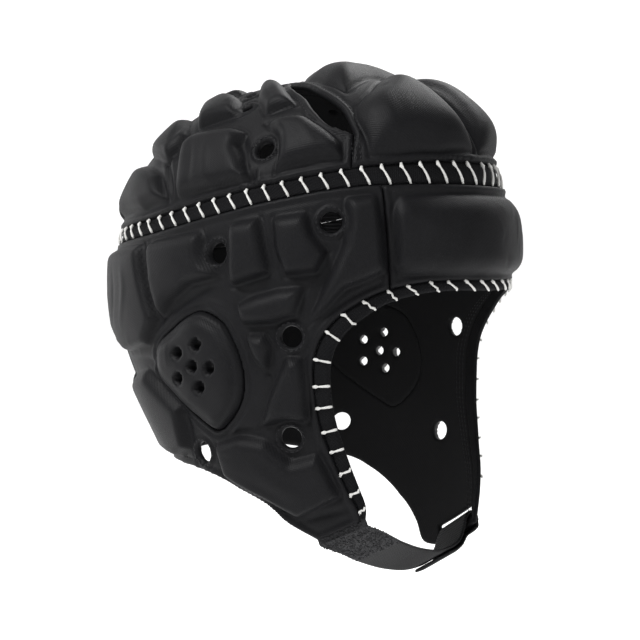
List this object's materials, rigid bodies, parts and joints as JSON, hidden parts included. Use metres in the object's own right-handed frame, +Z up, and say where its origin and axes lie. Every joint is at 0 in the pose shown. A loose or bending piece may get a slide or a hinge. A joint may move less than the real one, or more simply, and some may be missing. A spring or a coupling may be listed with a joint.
{
  "type": "rugby scrum cap",
  "caption": "Padded black rugby scrum cap of laced fabric panels with foam blocks, ear covers, vents and a chin strap through a slot.",
  "frame": {"origin": "top of the hollow on the middle line, where the crown sits on a head", "axes": "+Z up, the wearer looks along -Y, +X is the wearer's left side"},
  "size_m": [0.176, 0.2246, 0.261],
  "materials": {
    "panel_cloth": "satin",
    "tape_cloth": "matte",
    "loop_pile": "matte",
    "ribbed_elastic": "satin"
  },
  "bodies": {
    "root": {"crown_front": "panel_cloth", "crown_rear": "panel_cloth", "seam_tape": "tape_cloth", "forehead_panel": "panel_cloth", "side_panel_right": "panel_cloth", "side_panel_left": "panel_cloth", "back_panel": "panel_cloth", "ear_cover_right": "panel_cloth", "ear_cover_left": "panel_cloth", "face_binding": "tape_cloth", "chin_strap_tape": "loop_pile", "chin_strap_elastic": "ribbed_elastic"}
  },
  "joints": []
}
